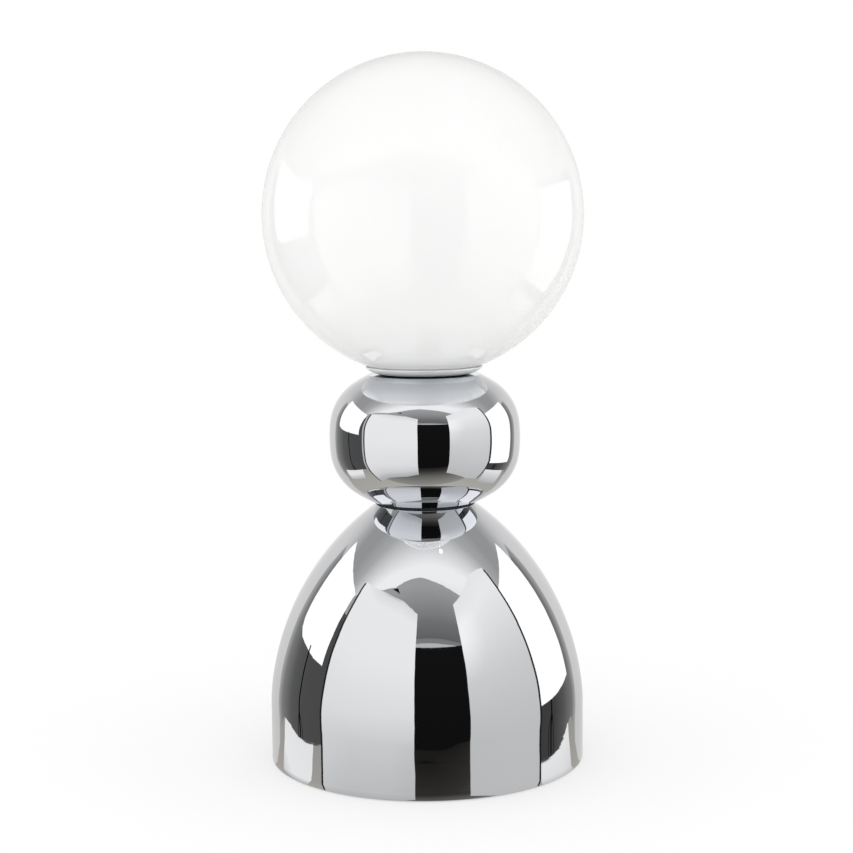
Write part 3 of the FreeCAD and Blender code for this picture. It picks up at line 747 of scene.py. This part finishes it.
# %% [markdown]
# ## Threaded pieces
# The cap, the plastic body inside it and the holder's shell all carry the same wave, so they
# stay 0.1 mm apart however far the bulb is screwed.

# %% Roll the cap
TIP_Z, CAP_TOP = 280.0, 304.0
CAP_R, CAP_FOOT_R, CAP_WALL = 13.1, 10.92, 0.3
cap_foot, thread_low = TIP_Z + 4.0, TIP_Z + 4.9
section = close_rows((CAP_FOOT_R, cap_foot), (11.35, cap_foot), (CAP_R, TIP_Z + 6.8),
                     (CAP_R, CAP_TOP), (CAP_R - CAP_WALL, CAP_TOP),
                     (CAP_R - CAP_WALL, TIP_Z + 6.9), (11.2, TIP_Z + 4.6),
                     (CAP_FOOT_R, TIP_Z + 4.6))
screw_cap = threaded("screw_cap", section, nickel, thread_low, CAP_TOP)

# %% Roll the neck of the bulb's body
BULB_R, JOINT_DROP, JOINT_Z = 30.0, 10.0, 350.0  # the frosted dome sits on the joint
JOINT_R = math.sqrt(BULB_R ** 2 - JOINT_DROP ** 2)
BULB_NECK_R, BULB_NECK_FOOT, BULB_HOLE_R = CAP_R - 0.32, TIP_Z + 10.0, 6.0
ledge, ledge_in, neck_in = JOINT_Z - 3.1, JOINT_R - 3.9, BULB_NECK_R - 1.48
section = close_rows((BULB_HOLE_R, BULB_NECK_FOOT), (BULB_NECK_R, BULB_NECK_FOOT),
                     (BULB_NECK_R, CAP_TOP), (BULB_NECK_R + 1.42, CAP_TOP))
section += arc_three((BULB_NECK_R + 1.82, CAP_TOP + 2.0), (JOINT_R - 7.8, JOINT_Z - 24.0),
                     (JOINT_R, JOINT_Z), 30)
section += [(JOINT_R - 1.4, JOINT_Z), (JOINT_R - 2.7, ledge), (ledge_in, ledge),
            (ledge_in, ledge - 1.7)]
section += arc_three((JOINT_R - 3.1, ledge - 1.7), (JOINT_R - 9.4, JOINT_Z - 23.8),
                     (BULB_NECK_R + 0.32, CAP_TOP + 3.0), 24)
section += close_rows((neck_in, CAP_TOP + 1.0), (neck_in, BULB_NECK_FOOT + 1.5),
                      (BULB_HOLE_R, BULB_NECK_FOOT + 1.5))
bulb_cup = threaded("bulb_cup", section, white_moulding, thread_low, CAP_TOP)

# %% Roll the holder's shell
SHELL_R, SHELL_WALL, CORE_TOP, SHELL_TOP = 13.2, 0.5, 277.0, 298.5
shell_out, shell_in = SHELL_R + SHELL_WALL, SHELL_R - 3.9
section = close_rows((shell_in, CORE_TOP), (shell_out, CORE_TOP), (shell_out, SHELL_TOP),
                     (SHELL_R, SHELL_TOP), (SHELL_R, CORE_TOP + SHELL_WALL),
                     (shell_in, CORE_TOP + SHELL_WALL))
screw_shell = threaded("screw_shell", section, brass, CORE_TOP + 1.0, SHELL_TOP)

# %% Put the threaded pieces in their nodes' places
for piece, body, node, slot in ((screw_cap, "bulb", "bulb_cap", "nickel"),
                                (bulb_cup, "bulb", "bulb_body", "white_plastic"),
                                (screw_shell, "lamp", "holder_thread_shell", "brass")):
    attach(piece, body)
    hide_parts(node)
    print(piece.name, "rides on", body, "and stands for", node)

# %% [markdown]
# ## Which piece gets which finish
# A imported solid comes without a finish. Each name below is one node, and the list is read once,
# so a node that is forgotten shows up in the printed line.

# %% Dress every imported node
plain = {
    zinc: ["fitter_ring", "clamp_washer", "upper_nut", "stem_tube", "pebble_spacer", "dome_washer",
           "lower_nut", "mounting_tabs", "tab_nuts", "ballast_screws", "block_screws",
           "holder_grub_screw"],
    spring: ["fitter_springs", "upper_lock_washer", "lower_lock_washer"],
    painted: ["ballast_plate"],
    felt: ["base_pad"],
    silicone: ["globe_gasket"],
    rubber: ["cable_gland"],
    black_fibre: ["dish_washer", "neck_washer"],
    phenolic: ["holder_cap", "holder_skirt", "driver_parts"],
    porcelain: ["holder_core"],
    white_moulding: ["tube_bushes", "terminal_block", "bulb_body"],
    frosted: ["bulb_diffuser"],
    black_glass: ["bulb_cap_insulator"],
    brass: ["block_clamp_screws", "earth_tag", "earth_screw", "holder_terminals",
            "holder_thread_shell", "holder_centre_contact"],
    nickel: ["fitter_rivets", "bulb_tip_contact", "bulb_cap"],
    board_green: ["driver_board"],
    board_white: ["led_board"],
    phosphor: ["leds"],
    brown: ["lead_live"],
    blue: ["lead_neutral"],
    earth: ["lead_earth"],
    satin: ["dish"],
    chrome: ["pebble_shell", "dome_shell"],
    opal: ["globe"],
}
for material, names in plain.items():
    for name in names:
        dress(name, material)
undressed = [n for n in nodes if not nodes[n].data.materials]
print("finishes:", len(plain), "undressed:", undressed)

# %% [markdown]
# ## What the chrome sees
# Chrome has no colour of its own: it is a picture of the studio. The mirror images show a
# small tent. A white sheet curves round the left, another round the right, and the dark slot
# between them is where the camera looks in. A bright box lamp leans in outside each side. A
# white cloth lies overhead and ends in a straight edge in front, and the lamp stands raised
# over a wide table. A picture wrapped round the world could do the same, but it would have no
# depth, and the ball and the dome see the sheets from different places. So each is a sheet that
# only glossy rays see, which paints the metal without adding light to the glass.

# %% A glow for mirrors


def glow(name, ramp, axis="Z", gain=1.14, spot=None, tint=(1.02, 1.0, 0.975)):
    """Glow for glossy rays. The ramp lists (place in mm, strength) along X, Y, Z or the radius
    R. A spot is (x, y, z, reach, extra): a soft round patch that is brighter by extra."""
    m, t = new_material(name)
    out = add(t, "ShaderNodeOutputMaterial")
    path = add(t, "ShaderNodeLightPath")
    clear = add(t, "ShaderNodeBsdfTransparent")
    lit = add(t, "ShaderNodeEmission", Color=(*tint, 1.0))
    pick = add(t, "ShaderNodeMixShader")
    wire(t, path.outputs["Is Glossy Ray"], pick.inputs[0])
    wire(t, clear.outputs[0], pick.inputs[1])
    wire(t, lit.outputs[0], pick.inputs[2])
    wire(t, pick.outputs[0], out.inputs[0])
    point = add(t, "ShaderNodeTexCoord").outputs["Object"]
    if axis == "R":
        flat = add(t, "ShaderNodeVectorMath", operation="MULTIPLY")
        flat.inputs[1].default_value = (1.0, 1.0, 0.0)
        wire(t, point, flat.inputs[0])
        length = add(t, "ShaderNodeVectorMath", operation="LENGTH")
        wire(t, flat.outputs[0], length.inputs[0])
        value = length.outputs["Value"]
    else:
        xyz = add(t, "ShaderNodeSeparateXYZ")
        wire(t, point, xyz.inputs[0])
        value = xyz.outputs[axis]
    first, last = ramp[0][0], ramp[-1][0]
    share = spread(t, value, 0.0, 1.0, first * MM, last * MM)
    curve = add(t, "ShaderNodeValToRGB")
    stops = curve.color_ramp.elements
    while len(stops) < len(ramp):
        stops.new(0.5)
    for stop, (mm, strength) in zip(stops, ramp):
        stop.position = (mm - first) / (last - first)
    for stop, (mm, strength) in zip(stops, ramp):
        stop.color = (strength, strength, strength, 1.0)
    wire(t, share, curve.inputs[0])
    scale = add(t, "ShaderNodeMath", operation="MULTIPLY")
    scale.inputs[1].default_value = gain
    wire(t, curve.outputs[0], scale.inputs[0])
    total = scale.outputs[0]
    if spot:
        sx, sy, sz, reach, extra = spot
        near = add(t, "ShaderNodeVectorMath", operation="DISTANCE")
        near.inputs[1].default_value = (sx * MM, sy * MM, sz * MM)
        wire(t, point, near.inputs[0])
        patch = spread(t, near.outputs["Value"], extra * gain, 0.0, 0.0, reach * MM)
        both = add(t, "ShaderNodeMath", operation="ADD")
        wire(t, total, both.inputs[0])
        wire(t, patch, both.inputs[1])
        total = both.outputs[0]
    wire(t, total, lit.inputs["Strength"])
    return m


# %% Sheets that only mirrors see


def mirror_sheet(name, verts_mm, faces, material):
    mesh = bpy.data.meshes.new(name)
    mesh.from_pydata([(x * MM, y * MM, z * MM) for x, y, z in verts_mm], [], faces)
    mesh.materials.append(material)
    ob = bpy.data.objects.new(name, mesh)
    bpy.context.scene.collection.objects.link(ob)
    ob.visible_camera = False
    ob.visible_diffuse = False
    ob.visible_shadow = False
    ob.visible_transmission = False
    return ob


def upright(name, plan, foot, material, parts=8):
    """An upright sheet. The plan lists (azimuth, radius, top height); azimuth 0 is the front
    and + is to the right. Between the listed places the sheet bends smoothly enough."""
    verts, faces = [], []
    for (a0, r0, z0), (a1, r1, z1) in zip(plan, plan[1:]):
        for i in range(parts):
            s = i / parts
            verts.append((a0 + (a1 - a0) * s, r0 + (r1 - r0) * s, z0 + (z1 - z0) * s))
    verts.append(plan[-1])
    points = []
    for az, r, top in verts:
        a = math.radians(az)
        x, y = r * math.sin(a), -r * math.cos(a)
        points += [(x, y, foot), (x, y, top)]
    for i in range(len(verts) - 1):
        faces.append((2 * i, 2 * i + 2, 2 * i + 3, 2 * i + 1))
    return mirror_sheet(name, points, faces, material)


def card(name, corners, material):
    """A flat sheet between corners in mm."""
    return mirror_sheet(name, corners, [tuple(range(len(corners)))], material)


def flat_card(name, outline, height, material):
    return card(name, [(x, y, height) for x, y in outline], material)


TABLE, CLOTH, FAR_DOWN = -165.0, 575.0, -700.0  # heights of the table, the cloth and the dark
WARM = (1.04, 0.98, 0.88)

# %% [markdown]
# ### Sheets, lamps and cloths
# Each place was found by following a mirror image back from the ball and from the dome: the two
# lines of sight meet where the thing stood. Its glow is a ramp of a few steps, because cloth
# and paper are never lit evenly.

# %% The two side sheets
left_glow = glow("left_sheet_glow", [(-165, 0.49), (-100, 0.57), (-50, 0.71), (50, 0.84),
                                     (200, 0.95), (400, 0.96), (470, 0.84), (490, 0.62)])
left_plan = [(-69.5, 318, 392), (-60, 352, 438), (-50, 378, 478), (-38, 384, 490),
             (-24, 390, 488), (-8.3, 440, 474)]
upright("left_sheet", left_plan, TABLE, left_glow)
right_glow = glow("right_sheet_glow", [(-165, 0.56), (50, 0.63), (150, 0.70), (290, 0.86),
                                       (420, 0.97), (575, 0.92)], spot=(235, -430, 330, 170, 0.16))
right_plan = [(27.7, 503, 572), (45, 425, 574), (59, 371, 566), (70, 374, 540), (78, 381, 515)]
upright("right_sheet", right_plan, TABLE, right_glow)
edge_glow = glow("sheet_edge_glow", [(-165, 0.012), (500, 0.03)])
upright("left_sheet_edge", [(-71.5, 330, 392), (-69.4, 320, 392)], TABLE, edge_glow, 1)
upright("right_sheet_edge", [(78, 383, 505), (80, 392, 505)], TABLE, edge_glow, 1)
print("side sheets reach", right_plan[1][2] - TABLE, "mm up from the table")

# %% Box lamps on their stands
lamp_glow = glow("box_lamp_glow", [(0, 1.0), (600, 1.0)], gain=1.38)
left_box = [(-804, 489, 194), (-866, -102, 201), (-492, -110, 470), (-514, 352, 552)]
card("left_box_lamp", left_box, lamp_glow)
right_box = [(545, -68, 1), (495, 265, 20), (379, 213, 432), (465, -72, 444)]
card("right_box_lamp", right_box, lamp_glow)
stand_glow = glow("stand_glow", [(0, 0.004), (600, 0.008)])
POLE = (0.0, 9.0, FAR_DOWN, 205.0)  # offset along Y, half width, foot and top
LEGS = [(112.0, 4.0, -420.0, -60.0), (-112.0, 4.0, -420.0, -60.0)]
for side, (x, y) in {"left": (-720.0, 120.0), "right": (690.0, 60.0)}.items():
    for leg, (off, wide, foot, top) in enumerate([POLE] + LEGS):
        corners = [(x, y + off - wide, foot), (x, y + off + wide, foot),
                   (x, y + wide, top), (x, y - wide, top)]
        card("%s_stand_%d" % (side, leg), corners, stand_glow)
print("box lamps stand at", left_box[0][:2], "and", right_box[0][:2])

# %% Room behind the lamps, camera slot and sweep
dark_left = glow("dark_left_glow", [(-190, 0.075), (100, 0.08), (330, 0.11), (520, 0.22),
                                    (610, 0.42)], "Y")
upright("dark_left", [(-134, 900, 900), (-78, 900, 900)], FAR_DOWN, dark_left, 16)
dark_right = glow("dark_right_glow", [(-190, 0.05), (150, 0.055), (330, 0.10), (520, 0.20),
                                      (610, 0.42)], "Y")
upright("dark_right", [(78, 900, 900), (134, 900, 900)], FAR_DOWN, dark_right, 16)
slot_glow = glow("slot_glow", [(-900, 0.004), (500, 0.007)])
slot_plan = [(-14, 900, 560), (34, 900, 545)]
upright("camera_slot", slot_plan, -900.0, slot_glow)
sweep_glow = glow("sweep_glow", [(-165, 0.60), (100, 0.68), (400, 0.69), (620, 0.58)],
                  spot=(0, 760, 150, 380, 0.2))
sweep_plan = [(132, 760, 620), (228, 760, 620)]
upright("white_sweep", sweep_plan, -300.0, sweep_glow, 32)
for name, plan in (("camera slot", slot_plan), ("sweep", sweep_plan)):
    print(name, "from", plan[0][0], "to", plan[1][0], "degrees")

# %% Cloth overhead, with a small bare lamp and the clamp of a sheet
cloth_glow = glow("cloth_glow", [(-360, 0.92), (-300, 1.0), (-240, 1.0), (-150, 0.72),
                                 (-60, 0.44), (60, 0.34), (200, 0.34), (320, 0.44),
                                 (500, 0.58), (900, 0.66)], "Y")
front_edge = [(-900, -60), (-700, -110), (-472, -210), (-352, -292), (-240, -318),
              (-160, -306), (-41, -300), (60, -322), (119, -331), (225, -357), (340, -365),
              (520, -250), (700, -180), (900, -120)]
flat_card("overhead_cloth", front_edge + [(900, 900), (-900, 900)], CLOTH, cloth_glow)
front_glow = glow("front_cloth_glow", [(-870, 0.235), (-806, 0.215), (-800, 0.135),
                                       (-600, 0.19), (-340, 0.38)], "Y")
flat_card("front_cloth", [(-900, -867), (900, -867), (900, 0), (-900, 0)], CLOTH + 4, front_glow)
spark_glow = glow("spark_glow", [(0, 1.0), (600, 1.0)], gain=4.0)
SPARK_X, SPARK_Y, SPARK_R = 103, -156, 11
spark = [(SPARK_X + SPARK_R * math.cos(k * math.pi / 4),
          SPARK_Y + SPARK_R * math.sin(k * math.pi / 4)) for k in range(8)]
flat_card("ceiling_spark", spark, CLOTH - 5, spark_glow)
clamp = [(-268, -322), (-225, -362), (-216, -372), (-222, -326)]
flat_card("sheet_clamp", clamp, CLOTH - 4, stand_glow)
print("cloth", CLOTH, "mm up, its front edge has", len(front_edge), "corners")

# %% Table under the lamp
table_glow = glow("table_glow", [(100, 0.50), (300, 0.44), (470, 0.42), (900, 0.30)], "R",
                  tint=WARM)
flat_card("low_table", [(-690, -190), (640, -190), (640, 420), (-690, 420)], TABLE, table_glow)
front_table_glow = glow("front_table_glow", [(-720, 0.012), (-560, 0.035), (-450, 0.09),
                                             (-330, 0.18), (-190, 0.30)], "Y", tint=WARM)
front_outline = [(-420, -190), (-420, -720), (420, -720), (420, -190)]
flat_card("front_table", front_outline, TABLE, front_table_glow)
left_patch = glow("left_patch_glow", [(-690, 0.90), (-560, 0.92), (-430, 0.46)], "X")
left_corners = [(-690, -60), (-430, 10), (-455, 300), (-690, 400)]
flat_card("left_patch", left_corners, TABLE + 1, left_patch)
right_patch = glow("right_patch_glow", [(330, 0.46), (430, 0.66), (560, 0.84), (640, 0.92)], "X")
right_corners = [(330, -20), (640, -80), (640, 340), (360, 280)]
flat_card("right_patch", right_corners, TABLE + 1, right_patch)
sheets = [o for o in bpy.data.objects if o.type == "MESH" and not o.visible_camera]
print("sheets round the lamp:", len(sheets))

# %% [markdown]
# ## Floor, background and light
# The picture is a cut-out on white, so the floor and the world are white to the camera. The
# floor keeps the lamp's soft shadow and fades to plain white a little way out. The light on
# the glass is plain and soft: a pale world, a large lamp above, one on each side and a low one
# in front, which lifts the underside of the globe. All are out of the mirrors' sight, and the
# level is set so that the glass shows its own colour.

# %% Floor
FLOOR_R, SHADOW_FULL_R, SHADOW_END_R, FLOOR_DROP = 6.0, 0.16, 0.42, 0.0003
floor_mat, t = new_material("pale_floor")
out = add(t, "ShaderNodeOutputMaterial")
path = add(t, "ShaderNodeLightPath")
paper = add(t, "ShaderNodeBsdfPrincipled", Roughness=0.7)
two_tone(t, paper, grain(t, place(t), 30.0, 3.0), (0.925, 0.925, 0.925), (0.935, 0.935, 0.935))
shade = add(t, "ShaderNodeBsdfDiffuse", Color=(0.42, 0.42, 0.42, 1.0))
glimmer = add(t, "ShaderNodeEmission", Strength=0.52)
seen = add(t, "ShaderNodeAddShader")
wire(t, shade.outputs[0], seen.inputs[0])
wire(t, glimmer.outputs[0], seen.inputs[1])
white = add(t, "ShaderNodeEmission", Strength=1.0)
c = add(t, "ShaderNodeTexCoord")
length = add(t, "ShaderNodeVectorMath", operation="LENGTH")
wire(t, c.outputs["Object"], length.inputs[0])
fade = add(t, "ShaderNodeMixShader")
wire(t, spread(t, length.outputs["Value"], 0.0, 1.0, SHADOW_FULL_R, SHADOW_END_R),
     fade.inputs[0])
wire(t, seen.outputs[0], fade.inputs[1])
wire(t, white.outputs[0], fade.inputs[2])
to_camera = add(t, "ShaderNodeMixShader")
wire(t, path.outputs["Is Camera Ray"], to_camera.inputs[0])
wire(t, paper.outputs[0], to_camera.inputs[1])
wire(t, fade.outputs[0], to_camera.inputs[2])
clear = add(t, "ShaderNodeBsdfTransparent")
pick = add(t, "ShaderNodeMixShader")
wire(t, path.outputs["Is Glossy Ray"], pick.inputs[0])
wire(t, to_camera.outputs[0], pick.inputs[1])
wire(t, clear.outputs[0], pick.inputs[2])
side = add(t, "ShaderNodeNewGeometry")
from_below = add(t, "ShaderNodeMixShader")
wire(t, side.outputs["Backfacing"], from_below.inputs[0])
wire(t, pick.outputs[0], from_below.inputs[1])
wire(t, clear.outputs[0], from_below.inputs[2])
wire(t, from_below.outputs[0], out.inputs[0])
bm = bmesh.new()
bmesh.ops.create_circle(bm, cap_ends=True, segments=96, radius=FLOOR_R)
floor_mesh = bpy.data.meshes.new("floor")
bm.to_mesh(floor_mesh)
bm.free()
floor_mesh.materials.append(floor_mat)
floor = bpy.data.objects.new("floor", floor_mesh)
floor.location.z = -FLOOR_DROP  # just under the pad, so that the two never flicker
bpy.context.scene.collection.objects.link(floor)
print("floor radius", FLOOR_R, "m, its shadow fades out from", SHADOW_FULL_R, "to", SHADOW_END_R)

# %% World
world = bpy.data.worlds.new("soft_white_room")
bpy.context.scene.world = world
world.use_nodes = True
t = world.node_tree
t.nodes.clear()
out = add(t, "ShaderNodeOutputWorld")
path = add(t, "ShaderNodeLightPath")
CAMERA_WHITE, FILL, ROOM = 1.0, 1.03, 0.60  # seen by the camera, matt faces and mirrors
white, fill, room = (add(t, "ShaderNodeBackground", Color=(1.0, 1.0, 1.0, 1.0), Strength=level)
                     for level in (CAMERA_WHITE, FILL, ROOM))
fill_or_room = add(t, "ShaderNodeMixShader")
wire(t, path.outputs["Is Glossy Ray"], fill_or_room.inputs[0])
wire(t, fill.outputs[0], fill_or_room.inputs[1])
wire(t, room.outputs[0], fill_or_room.inputs[2])
seen_or_not = add(t, "ShaderNodeMixShader")
wire(t, path.outputs["Is Camera Ray"], seen_or_not.inputs[0])
wire(t, fill_or_room.outputs[0], seen_or_not.inputs[1])
wire(t, white.outputs[0], seen_or_not.inputs[2])
wire(t, seen_or_not.outputs[0], out.inputs[0])
print("world levels:", CAMERA_WHITE, FILL, ROOM)

# %% Lamps


def soft_lamp(name, place_mm, aim_mm, size_mm, power):
    data = bpy.data.lights.new(name, "AREA")
    data.shape = "RECTANGLE"
    data.size, data.size_y = size_mm[0] * MM, size_mm[1] * MM
    data.energy = power
    ob = bpy.data.objects.new(name, data)
    bpy.context.scene.collection.objects.link(ob)
    p = Vector(place_mm) * MM
    way = Vector(aim_mm) * MM - p
    ob.matrix_world = Matrix.Translation(p) @ way.to_track_quat("-Z", "Y").to_matrix().to_4x4()
    ob.visible_camera = False
    ob.visible_glossy = False
    print(name, power, "W")


soft_lamp("top_lamp", (0, -200, 1400), (0, 0, 250), (1200, 1200), 2.2)
soft_lamp("left_lamp", (-1200, -300, 500), (0, 0, 250), (900, 900), 1.6)
soft_lamp("right_lamp", (1200, -300, 500), (0, 0, 250), (900, 900), 1.6)
soft_lamp("low_front_lamp", (0, -1100, 60), (0, 0, 300), (1500, 160), 1.5)
bpy.context.scene.view_settings.view_transform = "Standard"
